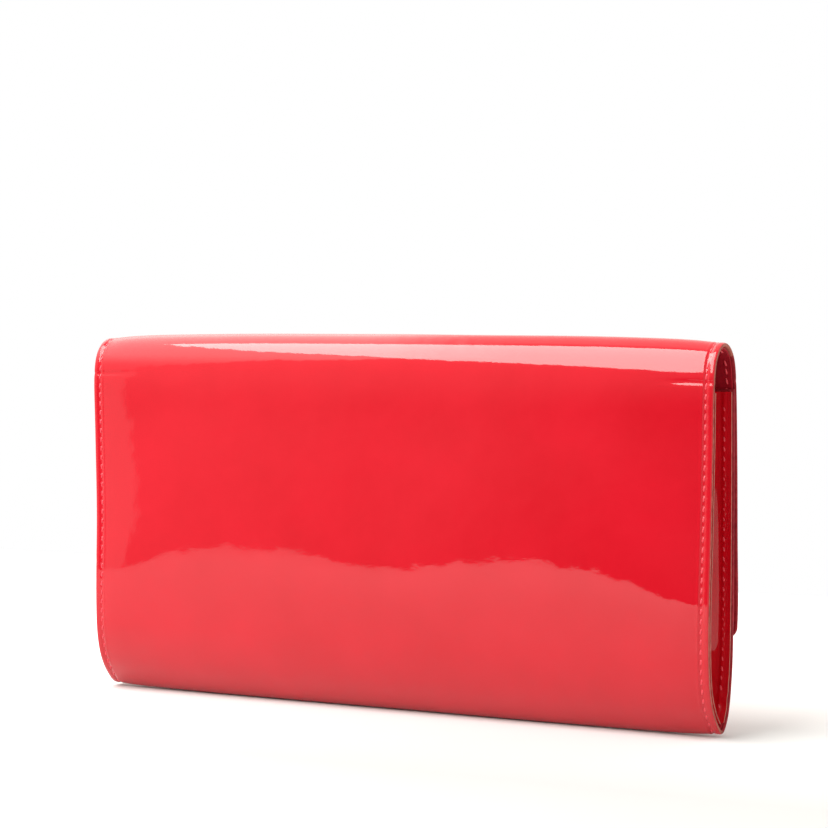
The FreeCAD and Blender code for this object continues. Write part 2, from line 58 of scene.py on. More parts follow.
# ---------------------------------------------------------------- places taken from the frame
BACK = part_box("back_panel")[1].y
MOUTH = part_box("back_panel")[1].z
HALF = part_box("back_panel")[1].x
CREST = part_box("arch_back_leather")[1].z
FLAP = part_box("flap_panel")[0].y
FLAP_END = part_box("flap_panel")[0].z
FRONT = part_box("front_panel")[0].y
FRONT_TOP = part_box("front_panel")[1].z
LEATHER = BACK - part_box("back_stiffener")[1].y
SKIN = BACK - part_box("back_lining")[1].y
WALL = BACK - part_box("back_facing")[1].y
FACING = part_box("back_facing")[1].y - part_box("back_facing")[0].y
FACING_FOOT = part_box("back_facing")[0].z
FACING_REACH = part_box("back_facing")[1].x
SEAM = HALF - (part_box("back_thread_right")[0].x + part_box("back_thread_right")[1].x) / 2
SNAP = (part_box("snap_socket")[0].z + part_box("snap_socket")[1].z) / 2
SNAP_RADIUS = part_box("snap_socket")[1].x
POCKET_LOW, POCKET_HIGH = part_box("slip_pocket")
GUSSET_LOW, GUSSET_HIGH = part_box("gusset_right")
FOAM_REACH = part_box("back_stiffener")[1].x

STITCH = 3.8 * MM             # stitch pitch
GUSSET_SKIN = 0.8 * MM        # gusset leather
ROW = STITCH / 5              # spacing of the mesh rows along the profile
CORNER = 4.5 * MM             # the flap's rounded corners
SLANT = 1.7 * MM              # how far the +X end stands out at the top, and in at the foot

# The outer leather's side profile at the side edges: Y and Z, from the flap's free edge over the
# arch and down the back to the fold, then up the front. CROWN is what the middle adds to each of
# these points, in millimetres.
PROFILE = [
    (FLAP + 1.6 * MM, FLAP_END - 0.5 * MM), (FLAP + 0.8 * MM, FLAP_END + 9 * MM),
    (FLAP + 1.2 * MM, FLAP_END + 30 * MM), (FLAP + 2.0 * MM, FLAP_END + 60 * MM),
    (FLAP + 2.9 * MM, MOUTH - 13 * MM), (FLAP + 3.9 * MM, MOUTH + 1 * MM),
    (FLAP + 7.1 * MM, CREST - 5.7 * MM), (0.4 * MM, CREST - 1.3 * MM),
    (BACK - 6.3 * MM, CREST - 5.7 * MM), (BACK - 2.8 * MM, MOUTH + 1 * MM),
    (BACK - 2.2 * MM, MOUTH - 13 * MM), (BACK - 1.4 * MM, 98 * MM), (BACK - 0.2 * MM, 72 * MM),
    (BACK + 1.1 * MM, 50 * MM), (BACK + 1.2 * MM, 34 * MM), (BACK + 0.3 * MM, 22 * MM),
    (BACK - 2.8 * MM, 12 * MM), (BACK - 7.6 * MM, 5.1 * MM), (1.2 * MM, 1.1 * MM),
    (-3.4 * MM, 5.0 * MM), (-6.6 * MM, 13 * MM), (FRONT + 1.8 * MM, 24 * MM),
    (FRONT + 0.9 * MM, 38 * MM), (FRONT + 0.5 * MM, 62 * MM), (FRONT + 0.5 * MM, 100 * MM),
    (FRONT + 0.8 * MM, FRONT_TOP),
]
CROWN = [
    (0, 0), (-0.2, 0), (-0.45, 0), (-0.6, 0), (-0.6, 0.2), (-0.6, 0.5),
    (-0.4, 1.0), (0, 1.7), (0.3, 1.2), (0.6, 0.5),
    (1.1, 0), (1.5, 0), (1.6, 0), (0.9, 0), (0.4, 0), (0.25, 0),
    (0.3, -0.1), (0.5, -0.3), (0.3, -0.25),
    (0, -0.2), (0, 0), (0.1, 0), (0.2, 0), (0.25, 0), (0.2, 0), (0.1, 0),
]
KNOT = {"flap_root": 5, "flap_cut": 6, "back_cut": 8, "back_root": 9, "tip": 18, "front_top": 25}

LIP = 0.75 * MM               # rise of the padded wall beside a seam
LIP_REACH = 7 * MM            # distance over which it rises
WAVINESS = 0.055 * MM         # slow waves of the leather
SWELL = 0.25 * MM             # uneven fullness of the back's belly
PAINT_OUTSIDE = 0.15 * MM     # how far the edge paint reaches over the two faces of the leather
PAINT_INSIDE = 0.9 * MM
WAVE_TO_PERIOD = 0.5          # the wave texture's scale times its size


# ---------------------------------------------------------------- smooth curves
def spline(knots, values):
    """Natural cubic spline through values at knots, as a function of an array."""
    knots = np.asarray(knots, float)
    values = np.asarray(values, float)
    gaps = np.diff(knots)
    count = len(knots)
    matrix = np.zeros((count, count))
    right = np.zeros((count, values.shape[1]))
    matrix[0, 0] = matrix[-1, -1] = 1
    for i in range(1, count - 1):
        matrix[i, i - 1:i + 2] = gaps[i - 1], 2 * (gaps[i - 1] + gaps[i]), gaps[i]
        right[i] = 6 * ((values[i + 1] - values[i]) / gaps[i]
                        - (values[i] - values[i - 1]) / gaps[i - 1])
    bend = np.linalg.solve(matrix, right)

    def evaluate(where):
        where = np.asarray(where, float)
        i = np.clip(np.searchsorted(knots, where, side="right") - 1, 0, count - 2)
        gap = gaps[i][..., None]
        a = (knots[i + 1] - where)[..., None]
        b = (where - knots[i])[..., None]
        return ((bend[i] * a ** 3 + bend[i + 1] * b ** 3) / (6 * gap)
                + (values[i] / gap - bend[i] * gap / 6) * a
                + (values[i + 1] / gap - bend[i + 1] * gap / 6) * b)

    return evaluate


edge_points = np.array(PROFILE)
station = np.concatenate([[0], np.cumsum(np.linalg.norm(np.diff(edge_points, axis=0), axis=1))])
edge_curve = spline(station, edge_points)
crown_curve = spline(station, np.array(CROWN) * MM)
AT = {name: station[index] for name, index in KNOT.items()}
BELLY = (station[12] + 2 * station[13]) / 3


def smoothstep(low, high, value):
    t = np.clip((value - low) / (high - low), 0, 1)
    return t * t * (3 - 2 * t)


def crown_share(x):
    """How much of the crown a place across the width takes: all in the middle, none at the seams."""
    return 1 - np.clip(np.abs(x) / (HALF - 3 * MM), 0, 1) ** 3.4


def widened(points):
    """The +X end is cut a little slanted: it stands out above and in below."""
    height = np.clip((points[:, 2] - 98 * MM) / (52 * MM), -1, 1)
    moved = points.copy()
    moved[:, 0] += SLANT * np.clip(points[:, 0] / HALF, 0, 1) * np.sin(height * math.pi / 2)
    return moved


def section(x, s):
    """Point (Y, Z) and outward normal (Y, Z) of the outer leather at x and station s."""
    share = crown_share(x)[..., None]
    step = 0.2 * MM

    def surface(where):
        return edge_curve(where) + share * crown_curve(where)

    point = surface(s)
    along = surface(s + step) - surface(s - step)
    along /= np.linalg.norm(along, axis=-1, keepdims=True)
    normal = np.stack([-along[..., 1], along[..., 0]], axis=-1)
    return point, normal


def margin_share(x):
    """How far the layers lie on each other at x: 0 over the foam, 1 at the side seams."""
    return smoothstep(FOAM_REACH - 4 * MM, HALF - 3 * MM, np.abs(x))


def puff(x, s):
    """Soft relief of the foam under the leather: a lip inside each seam and slow waves."""
    inside = np.clip(HALF - SEAM - 0.6 * MM - np.abs(x), 0, 1)
    lip = LIP * (1 - np.exp(-inside / LIP_REACH))
    fade = 1 - np.clip(np.abs(x) / HALF, 0, 1) ** 6
    wave = (np.sin(x / 0.021 + 1.3 + 0.6 * np.sin(s / 0.03))
            * np.sin(s / 0.017 + 0.8 + 0.5 * np.sin(x / 0.05))
            + 0.8 * np.sin(x / 0.038 + s / 0.026 + 0.4)
            + 0.6 * np.sin(x / 0.011 - s / 0.019 + 2.1))
    swell = np.cos((x - 86 * MM) * 2 * math.pi / 0.164) * np.sin((BELLY - s) * 2 * math.pi / 0.16)
    swell *= np.exp(-((s - BELLY) / 0.05) ** 2)
    return lip + WAVINESS * wave * fade + SWELL * swell * fade


# ---------------------------------------------------------------- meshes
def mesh_object(name, points, faces, uvs, normals, materials, slots):
    """A smooth mesh object from arrays. normals may be None."""
    mesh = bpy.data.meshes.new(name)
    mesh.from_pydata(widened(points).tolist(), [], faces)
    layer = mesh.uv_layers.new(name="UVMap")
    corner = np.zeros(len(mesh.loops), np.int32)
    mesh.loops.foreach_get("vertex_index", corner)
    layer.data.foreach_set("uv", uvs[corner].astype(np.float32).ravel())
    mesh.polygons.foreach_set("use_smooth", np.ones(len(mesh.polygons), bool))
    for material in materials:
        mesh.materials.append(material)
    mesh.polygons.foreach_set("material_index", np.asarray(slots, np.int32))
    mesh.update()
    if normals is not None:
        mesh.normals_split_custom_set_from_vertices(normals.tolist())
    item = bpy.data.objects.new(name, mesh)
    bpy.context.scene.collection.objects.link(item)
    return item


def grid_normals(grid):
    """Unit normals of a grid of points, from its differences."""
    down = np.gradient(grid, axis=0)
    across = np.gradient(grid, axis=1)
    normal = np.cross(across, down)
    length = np.linalg.norm(normal, axis=-1, keepdims=True)
    return normal / np.maximum(length, 1e-12)


def side_columns(half, seam_detail, middle_step, fine_middle=False):
    """Nominal x of the mesh columns: fine at the rounded edges and the seams."""
    near = [0, 0.05, 0.18, 0.4, 0.8, 1.5, 2.4, 3.3]
    if seam_detail:
        near += list(np.arange(3.9, 7.3, 0.32))
    near += [7.8, 8.8, 10.2, 12, 14.5, 17.5, 21, 25, 30]
    distance = [half - value * MM for value in near]
    left = distance[-1]
    count = max(2, round(left / middle_step))
    distance += list(np.linspace(left, 0, count + 1)[1:])
    if fine_middle:
        distance = [value for value in distance if value > 0.0125]
        distance += list(np.linspace(0.0125, 0, 9))
    right = np.array(distance)
    return np.concatenate([-right, right[-2::-1]])


def rows_between(start, stop, free_start, free_stop, step=ROW):
    """Stations of the mesh rows, fine at a free edge that is rounded."""
    round_off = np.array([0, 0.05, 0.18, 0.4, 0.8]) * MM
    low = start + (0.8 * MM if free_start else 0)
    high = stop - (0.8 * MM if free_stop else 0)
    middle = np.linspace(low, high, max(2, round((high - low) / step) + 1))
    parts = [middle]
    if free_start:
        parts.insert(0, start + round_off[:-1])
    if free_stop:
        parts.append(stop - round_off[-2::-1])
    return np.concatenate(parts)


def border(x, s, half, start, stop, corner_start=0.0, corner_stop=0.0):
    """Distance from the free edges of a sheet; start or stop None means that it runs on."""
    side = half - np.abs(x)
    best = side
    for end, corner in ((start, corner_start), (stop, corner_stop)):
        if end is None:
            continue
        gap = np.abs(s - end)
        rounded = corner - np.hypot(np.clip(corner - side, 0, None), np.clip(corner - gap, 0, None))
        plain = np.minimum(side, gap)
        both = (side < corner) & (gap < corner)
        best = np.minimum(best, np.where(both, rounded, plain))
    return best


def half_width(s, half, end, corner):
    """Half width of a sheet whose end has rounded corners."""
    if end is None or corner == 0:
        return np.full_like(s, half)
    reach = np.clip(corner - np.abs(s - end), 0, corner)
    return half - corner + np.sqrt(corner ** 2 - reach ** 2)


class Sheet:
    """A layer of the wall between two depths under the outer surface, as grids of points."""

    def __init__(self, start, stop, outer, inner, half, free=(False, False), corner=0.0,
                 columns=None, step=ROW, seam=False, edge_pull=0.0, relief=None, corner_stop=0.0):
        self.s = rows_between(start, stop, free[0], free[1], step)
        self.free = free
        nominal = side_columns(half, seam, 7 * MM) if columns is None else columns
        s_grid, x_grid = np.meshgrid(self.s, nominal, indexing="ij")
        width = half_width(s_grid, half, start if free[0] else None, corner)
        width = np.minimum(width, half_width(s_grid, half, stop if free[1] else None, corner_stop))
        keep = min(20 * MM, half / 2)
        outside = np.abs(x_grid) > half - keep
        x_grid = np.where(outside, np.sign(x_grid) * (width - (half - np.abs(x_grid))),
                          x_grid * (width - keep) / (half - keep))
        distance = border(x_grid, s_grid, half, start if free[0] else None,
                          stop if free[1] else None, corner, corner_stop)
        distance[:, 0] = distance[:, -1] = 0
        if free[0]:
            distance[0] = 0
        if free[1]:
            distance[-1] = 0
        distance = np.clip(distance, 0, None)
        radius = (inner - outer) / 2
        gap = np.clip(radius - distance, 0, radius)
        drop = radius - np.sqrt(np.clip(radius ** 2 - gap ** 2, 0, None))
        pull = edge_pull * margin_share(x_grid)
        point, normal = section(x_grid, s_grid)
        raise_by = puff(x_grid, s_grid)
        if relief is not None:
            raise_by = raise_by + relief(x_grid, s_grid, distance)
        self.outer = self.place(x_grid, point + normal * (raise_by - outer + pull - drop)[..., None])
        self.inner = self.place(x_grid, point + normal * (raise_by - inner + pull + drop)[..., None])
        self.x = x_grid
        self.distance = distance
        self.uv = np.stack([x_grid, s_grid], axis=-1)
        self.normal_out = grid_normals(self.outer)
        self.normal_in = -grid_normals(self.inner)
        facing = np.sum(self.normal_out[:, :, 1:] * normal, axis=-1).mean()
        self.flip = facing < 0
        if self.flip:
            self.normal_out *= -1
            self.normal_in *= -1

    @staticmethod
    def place(x_grid, point):
        return np.concatenate([x_grid[..., None], point], axis=-1)

    def row(self, s):
        """Index of the mesh row nearest to station s."""
        return int(np.argmin(np.abs(self.s - s)))

    def piece(self, name, start, stop, materials, hole=None):
        """A closed solid from row start to row stop. materials holds the face's and, if there is a
        second, the painted edge's."""
        rows = stop - start + 1
        columns = self.x.shape[1]
        outer = np.arange(rows * columns).reshape(rows, columns)
        inner = outer + rows * columns
        pick = slice(start, stop + 1)
        inner[:, 0] = outer[:, 0]
        inner[:, -1] = outer[:, -1]
        closed_start = self.free[0] and start == 0
        closed_stop = self.free[1] and stop == len(self.s) - 1
        if closed_start:
            inner[0] = outer[0]
        if closed_stop:
            inner[-1] = outer[-1]
        skip = np.zeros((rows - 1, columns - 1), bool)
        if hole is not None:
            middle_x = (self.x[pick][1:, 1:] + self.x[pick][:-1, :-1]) / 2
            middle_z = (self.outer[pick][1:, 1:, 2] + self.outer[pick][:-1, :-1, 2]) / 2
            skip = np.hypot(middle_x - hole[0], middle_z - hole[1]) < hole[2]
        faces = []
        slots = []
        near = self.distance[pick]
        thin = np.minimum(np.minimum(near[:-1, :-1], near[1:, :-1]),
                          np.minimum(near[:-1, 1:], near[1:, 1:]))
        for ids, turn, reach in ((outer, False, PAINT_OUTSIDE), (inner, True, PAINT_INSIDE)):
            quad = np.stack([ids[:-1, :-1], ids[:-1, 1:], ids[1:, 1:], ids[1:, :-1]], axis=-1)
            if turn != self.flip:
                quad = quad[..., ::-1]
            keep = ~skip
            faces.append(quad[keep])
            slots.append((thin[keep] < reach).astype(int))
        walls = []
        for row, closed in ((0, closed_start), (rows - 1, closed_stop)):
            if closed:
                continue
            a = outer[row, :-1]
            b = outer[row, 1:]
            c = inner[row, 1:]
            d = inner[row, :-1]
            wall = np.stack([a, d, c, b] if row == 0 else [a, b, c, d], axis=-1)
            walls.append(wall[:, ::-1] if self.flip else wall)
        if hole is not None:
            for r, c in np.argwhere(skip):
                for dr, dc, one, two in ((-1, 0, (r, c), (r, c + 1)), (1, 0, (r + 1, c + 1), (r + 1, c)),
                                         (0, -1, (r + 1, c), (r, c)), (0, 1, (r, c + 1), (r + 1, c + 1))):
                    if not skip[r + dr, c + dc]:
                        walls.append(np.array([[outer[one], outer[two], inner[two], inner[one]]]))
        for wall in walls:
            faces.append(wall)
            slots.append(np.zeros(len(wall), int))
        # Quads along a closed edge lose the corner that both faces share.
        faces = np.concatenate(faces)
        slots = np.concatenate(slots)
        ragged = [list(dict.fromkeys(face)) for face in faces.tolist()]
        good = [i for i, face in enumerate(ragged) if len(face) >= 3]
        points = np.concatenate([self.outer[pick].reshape(-1, 3), self.inner[pick].reshape(-1, 3)])
        uvs = np.concatenate([self.uv[pick].reshape(-1, 2)] * 2)
        normal_out = self.normal_out[pick].copy()
        normal_in = self.normal_in[pick]
        shared = inner == outer
        mixed = normal_out + normal_in
        mixed /= np.maximum(np.linalg.norm(mixed, axis=-1, keepdims=True), 1e-9)
        normal_out[shared] = mixed[shared]
        normals = np.concatenate([normal_out.reshape(-1, 3), normal_in.reshape(-1, 3)])
        if len(materials) < 2:
            slots = np.zeros(len(slots), int)
        used = np.unique(np.concatenate([ragged[i] for i in good]))
        renumber = {int(old): new for new, old in enumerate(used)}
        tidy = [[renumber[v] for v in ragged[i]] for i in good]
        return mesh_object(name, points[used], tidy, uvs[used], normals[used], materials, slots[good])


# ---------------------------------------------------------------- materials
class Nodes:
    """A material under construction: short calls to add and link shader nodes."""

    def __init__(self, name):
        self.material = bpy.data.materials.new(name)
        self.material.use_nodes = True
        self.tree = self.material.node_tree
        self.shader = self.tree.nodes["Principled BSDF"]

    def add(self, kind, **values):
        node = self.tree.nodes.new(kind)
        for key, value in values.items():
            setattr(node, key, value)
        return node

    def link(self, source, target):
        self.tree.links.new(source, target)

    def set(self, **values):
        for key, value in values.items():
            self.shader.inputs[key.replace("_", " ")].default_value = value

    def where(self):
        """Coordinates in metres, fixed to the piece."""
        return self.add("ShaderNodeTexCoord").outputs["Object"]

    def noise(self, size, detail=2.0, stretch=(1, 1, 1)):
        mapping = self.add("ShaderNodeMapping")
        mapping.inputs["Scale"].default_value = [value / size for value in stretch]
        self.link(self.where(), mapping.inputs["Vector"])
        node = self.add("ShaderNodeTexNoise")
        node.inputs["Scale"].default_value = 1.0
        node.inputs["Detail"].default_value = detail
        self.link(mapping.outputs["Vector"], node.inputs["Vector"])
        return node.outputs["Fac"]

    def wave(self, size, axis):
        node = self.add("ShaderNodeTexWave", bands_direction=axis)
        node.inputs["Scale"].default_value = WAVE_TO_PERIOD / size
        node.inputs["Distortion"].default_value = 0.6
        node.inputs["Detail"].default_value = 1.0
        self.link(self.where(), node.inputs["Vector"])
        return node.outputs["Fac"]

    def ramp(self, source, *stops):
        node = self.add("ShaderNodeValToRGB")
        elements = node.color_ramp.elements
        while len(elements) < len(stops):
            elements.new(0.5)
        for element, (place, colour) in zip(elements, stops):
            element.position = place
            element.color = (*colour, 1)
        self.link(source, node.inputs["Fac"])
        return node.outputs["Color"]

    def spread(self, source, low, high):
        node = self.add("ShaderNodeMapRange")
        node.inputs["To Min"].default_value = low
        node.inputs["To Max"].default_value = high
        self.link(source, node.inputs["Value"])
        return node.outputs["Result"]

    def bump(self, height, depth, strength=1.0, under=None):
        node = self.add("ShaderNodeBump")
        node.inputs["Strength"].default_value = strength
        node.inputs["Distance"].default_value = depth
        self.link(height, node.inputs["Height"])
        if under is not None:
            self.link(under, node.inputs["Normal"])
        return node.outputs["Normal"]


def patent_leather(name, dark, light, waviness):
    """Polished coated leather: a saturated base under a clear coat with faint orange peel."""
    nodes = Nodes(name)
    nodes.link(nodes.ramp(nodes.noise(0.03, 3), (0.3, dark), (0.7, light)),
               nodes.shader.inputs["Base Color"])
    nodes.link(nodes.spread(nodes.noise(0.0015), 0.42, 0.55), nodes.shader.inputs["Roughness"])
    nodes.set(Specular_IOR_Level=0.05, Coat_Weight=1.0, Coat_Roughness=0.03, Coat_IOR=1.5)
    peel = nodes.bump(nodes.noise(0.0011, 1), 0.000006 * waviness)
    swell = nodes.bump(nodes.noise(0.009, 1), 0.00006 * waviness, under=peel)
    nodes.link(swell, nodes.shader.inputs["Coat Normal"])
    nodes.link(swell, nodes.shader.inputs["Normal"])
    return nodes.material


def plain_leather(name, dark, light, roughness, grain):
    """Uncoated leather with a fine pebbled grain."""
    nodes = Nodes(name)
    nodes.link(nodes.ramp(nodes.noise(0.012, 4), (0.3, dark), (0.7, light)),
               nodes.shader.inputs["Base Color"])
    cells = nodes.add("ShaderNodeTexVoronoi", feature="SMOOTH_F1")
    cells.inputs["Scale"].default_value = 1 / grain
    nodes.link(nodes.where(), cells.inputs["Vector"])
    nodes.link(nodes.spread(nodes.noise(0.004), roughness - 0.06, roughness + 0.08),
               nodes.shader.inputs["Roughness"])
    pebble = nodes.bump(cells.outputs["Distance"], 0.00012, 0.8)
    nodes.link(nodes.bump(nodes.noise(0.0004), 0.00003, under=pebble), nodes.shader.inputs["Normal"])
    return nodes.material


def edge_paint(name, dark, light):
    """Edge paint on the cut leather, slightly uneven and satin."""
    nodes = Nodes(name)
    nodes.link(nodes.ramp(nodes.noise(0.0022, 3), (0.3, dark), (0.7, light)),
               nodes.shader.inputs["Base Color"])
    nodes.set(Specular_IOR_Level=0.12)
    nodes.link(nodes.spread(nodes.noise(0.001), 0.4, 0.6), nodes.shader.inputs["Roughness"])
    nodes.link(nodes.bump(nodes.noise(0.0009), 0.00008), nodes.shader.inputs["Normal"])
    return nodes.material


def woven(name, dark, light, pitch, rough, sheen):
    """Twill weave from two crossed waves."""
    nodes = Nodes(name)
    across = nodes.wave(pitch, "X")
    along = nodes.wave(pitch, "Z")
    cross = nodes.add("ShaderNodeMath", operation="MULTIPLY")
    nodes.link(across, cross.inputs[0])
    nodes.link(along, cross.inputs[1])
    blend_noise = nodes.add("ShaderNodeMath", operation="MULTIPLY_ADD")
    nodes.link(nodes.noise(0.006, 4), blend_noise.inputs[0])
    blend_noise.inputs[1].default_value = 0.8
    nodes.link(cross.outputs[0], blend_noise.inputs[2])
    nodes.link(nodes.ramp(blend_noise.outputs[0], (0.2, dark), (1.0, light)),
               nodes.shader.inputs["Base Color"])
    nodes.link(nodes.spread(cross.outputs[0], rough - 0.1, rough + 0.1),
               nodes.shader.inputs["Roughness"])
    nodes.set(Sheen_Weight=sheen, Specular_IOR_Level=0.15)
    nodes.link(nodes.bump(cross.outputs[0], 0.00015), nodes.shader.inputs["Normal"])
    return nodes.material


def sewing_thread():
    """Bonded polyester thread: fine twisted ply with a low sheen. Its red is lighter than the leather's,
    partly the thread's own colour and partly a painted highlight.
    """
    nodes = Nodes("thread")
    # Lighter red base: partly the thread's own colour, partly a painted highlight.
    nodes.link(nodes.ramp(nodes.noise(0.0006, 2), (0.3, (0.62, 0.020, 0.04)), (0.7, (0.84, 0.065, 0.09))),
               nodes.shader.inputs["Base Color"])
    nodes.link(nodes.spread(nodes.noise(0.0003), 0.25, 0.45), nodes.shader.inputs["Roughness"])
    nodes.set(Specular_IOR_Level=0.6)
    nodes.link(nodes.bump(nodes.noise(0.00025, 1, stretch=(1, 1, 0.4)), 0.0001),
               nodes.shader.inputs["Normal"])
    return nodes.material


def metal(name, dark, light, roughness, brush):
    """Plated metal with fine brushing and faint stains."""
    nodes = Nodes(name)
    nodes.link(nodes.ramp(nodes.noise(0.002, 4), (0.25, dark), (0.75, light)),
               nodes.shader.inputs["Base Color"])
    nodes.link(nodes.spread(nodes.noise(0.0004, 2, stretch=brush), roughness, roughness + 0.12),
               nodes.shader.inputs["Roughness"])
    nodes.set(Metallic=1.0)
    nodes.link(nodes.bump(nodes.noise(0.0003, 2, stretch=brush), 0.00001),
               nodes.shader.inputs["Normal"])
    return nodes.material


def foam_board():
    """Grey-white foam board with open cells; hidden between the leather and the lining."""
    nodes = Nodes("board")
    cells = nodes.add("ShaderNodeTexVoronoi", feature="F1")
    cells.inputs["Scale"].default_value = 1400
    nodes.link(nodes.where(), cells.inputs["Vector"])
    nodes.link(nodes.ramp(cells.outputs["Distance"], (0.1, (0.3, 0.28, 0.26)), (0.8, (0.7, 0.68, 0.64))),
               nodes.shader.inputs["Base Color"])
    nodes.link(nodes.spread(nodes.noise(0.002), 0.75, 0.95), nodes.shader.inputs["Roughness"])
    nodes.link(nodes.bump(cells.outputs["Distance"], 0.0002), nodes.shader.inputs["Normal"])
    return nodes.material


PATENT = patent_leather("patent_leather", (0.47, 0.002, 0.010), (0.51, 0.003, 0.013), 1.0)
# The gusset's copy of the patent leather has a lighter base: painted light in the recess between the walls.
GUSSET_PAINTED_LIGHT = patent_leather("gusset_leather", (0.52, 0.002, 0.009), (0.60, 0.003, 0.012), 1.6)
TAN_EDGE = edge_paint("tan_edge_paint", (0.27, 0.055, 0.042), (0.46, 0.135, 0.10))
RED_EDGE = edge_paint("red_edge_paint", (0.22, 0.006, 0.014), (0.36, 0.022, 0.030))
FACING_LEATHER = plain_leather("facing_leather", (0.28, 0.006, 0.012), (0.40, 0.012, 0.022), 0.42, 0.0007)
LINING = woven("lining_fabric", (0.26, 0.001, 0.008), (0.50, 0.006, 0.022), 0.0007, 0.62, 0.03)
BINDING = plain_leather("binding", (0.30, 0.008, 0.014), (0.44, 0.016, 0.026), 0.38, 0.0005)
THREAD_PAINTED_HIGHLIGHT = sewing_thread()
STEEL = metal("snap_metal", (0.62, 0.60, 0.57), (0.80, 0.78, 0.75), 0.16, (1, 1, 1))
MAGNET = metal("magnet", (0.34, 0.34, 0.35), (0.48, 0.48, 0.49), 0.3, (1, 1, 1))
WASHER = metal("washer_steel", (0.45, 0.45, 0.45), (0.6, 0.6, 0.6), 0.35, (1, 4, 1))
BOARD = foam_board()


# ---------------------------------------------------------------- where pieces are cut and bend
CUT_FLAP = AT["flap_cut"]
CUT_BACK = AT["back_cut"]
TIP = AT["tip"]
END = AT["front_top"]
HINGE_REACH = 4 * MM
ABOVE_MOUTH = (0, 0, MOUTH + HINGE_REACH)
BELOW_MOUTH = (0, 0, MOUTH - HINGE_REACH)
BEHIND_CREST = (0, HINGE_REACH, 0)
BEFORE_CREST = (0, -HINGE_REACH, 0)
FRONT_BEND_LOW = (0, 0, 20 * MM)
FRONT_BEND_HIGH = (0, 0, 34 * MM)

# For each wall: its stations, its two bodies, and the places between which it bends.
WALLS = {
    "flap": (0.0, CUT_FLAP, ("arch_front", "flap"), (ABOVE_MOUTH, BELOW_MOUTH)),
    "arch": (CUT_FLAP, CUT_BACK, ("arch_back", "arch_front"), (BEHIND_CREST, BEFORE_CREST)),
    "back": (CUT_BACK, TIP, ("body", "arch_back"), (BELOW_MOUTH, ABOVE_MOUTH)),
    "front": (TIP, END, ("body", "front"), (FRONT_BEND_LOW, FRONT_BEND_HIGH)),
}


def bend_with(item):
    """Bakes the piece's placement into its mesh."""
    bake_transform(item)


def finish_piece(item, slot, *nodes):
    if nodes:
        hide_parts(*nodes)
    return item


# ---------------------------------------------------------------- stitched seams
def seam_stations(start, stop):
    """Middles of the stitches between two stations, on one pitch for the whole seam."""
    first = math.ceil((start + 2.2 * MM) / STITCH)
    last = math.floor((stop - 2.2 * MM) / STITCH)
    return np.arange(first, last + 1) * STITCH


def seam_groove(x, s, distance):
    """The pull of the side seams on the leather, with a dimple at every needle hole, and the crease
    that the margin takes at the two bend lines."""
    off = np.abs(x) - (HALF - SEAM)
    groove = 0.30 * MM * np.exp(-(off / (0.55 * MM)) ** 2)
    phase = np.abs((s / STITCH) % 1.0 - 0.5)
    sewn = (s > 5 * MM) & (s < END - 1.5 * MM)
    hole = 0.32 * MM * np.exp(-(off / (0.42 * MM)) ** 2) * np.exp(-((0.5 - phase) / 0.13) ** 2)
    lips = 0.10 * MM * np.exp(-((np.abs(off) - 1.25 * MM) / (0.6 * MM)) ** 2)
    crease = np.zeros_like(s)
    for bend in (AT["flap_root"], AT["back_root"]):
        crease += np.exp(-((s - bend) / (0.75 * MM)) ** 2)
    crease *= 0.30 * MM * smoothstep(HALF - 26 * MM, HALF - 8 * MM, np.abs(x))
    return np.where(sewn, lips - groove - hole, 0) - crease


def capsule_mesh(name, places, material):
    """One mesh of stitches. Each place is (middle, along, out, side) as 3-vectors."""
    ring = 7
    sections = [(-1.0, 0.10, -0.42), (-0.86, 0.62, -0.16), (-0.5, 0.95, 0.10), (0.0, 1.05, 0.17),
                (0.5, 0.95, 0.10), (0.86, 0.62, -0.16), (1.0, 0.10, -0.42)]
    reach = 1.55 * MM
    radius = 0.40 * MM
    points = []
    faces = []
    for middle, along, out, side in places:
        base = len(points)
        for t, fat, lift in sections:
            centre = middle + along * (t * reach) + out * (lift * MM) + side * (0.30 * MM * t)
            for k in range(ring):
                angle = 2 * math.pi * k / ring
                points.append(centre + fat * radius * (1.15 * math.cos(angle) * side + math.sin(angle) * out))
        count = len(sections)
        for i in range(count - 1):
            for k in range(ring):
                a = base + i * ring + k
                b = base + i * ring + (k + 1) % ring
                faces.append([a, b, b + ring, a + ring])
        faces.append([base + k for k in reversed(range(ring))])
        faces.append([base + (count - 1) * ring + k for k in range(ring)])
    points = np.array(points)
    if len(places) and np.dot(np.cross(places[0][1], places[0][3]), places[0][2]) > 0:
        faces = [face[::-1] for face in faces]
    uvs = points[:, [0, 2]]
    return mesh_object(name, points, faces, uvs, None, [material], np.zeros(len(faces), int))


def wall_place(x, s, depth):
    """Point on the wall at a depth, its direction along the profile and its outward normal."""
    spot = np.array([x])
    here = np.array([s])
    point, normal = section(spot, here)
    pull = (SKIN - LEATHER) * margin_share(spot) * (depth > LEATHER)
    height = puff(spot, here) - depth + pull
    flat = point[0] + normal[0] * height[0]
    out = np.array([0, normal[0][0], normal[0][1]])
    along = np.array([0, normal[0][1], -normal[0][0]])
    return np.array([x, flat[0], flat[1]]), along, out


def stitch_places(side, start, stop, depth, face):
    """Places of one seam's stitches; face is 1 outside and -1 inside."""
    places = []
    for s in seam_stations(start, stop):
        middle, along, out = wall_place(side * (HALF - SEAM), s, depth)
        if face < 0 and middle[2] < GUSSET_HIGH.z - 1 * MM and s > AT["back_root"]:
            middle, along, out = wall_place(side * (HALF - SEAM), s, depth + GUSSET_SKIN)
        sink = 0.22 * MM if face > 0 else 0.10 * MM
        places.append((middle - out * sink * face, along, out * face, np.array([1.0, 0, 0])))
    return places


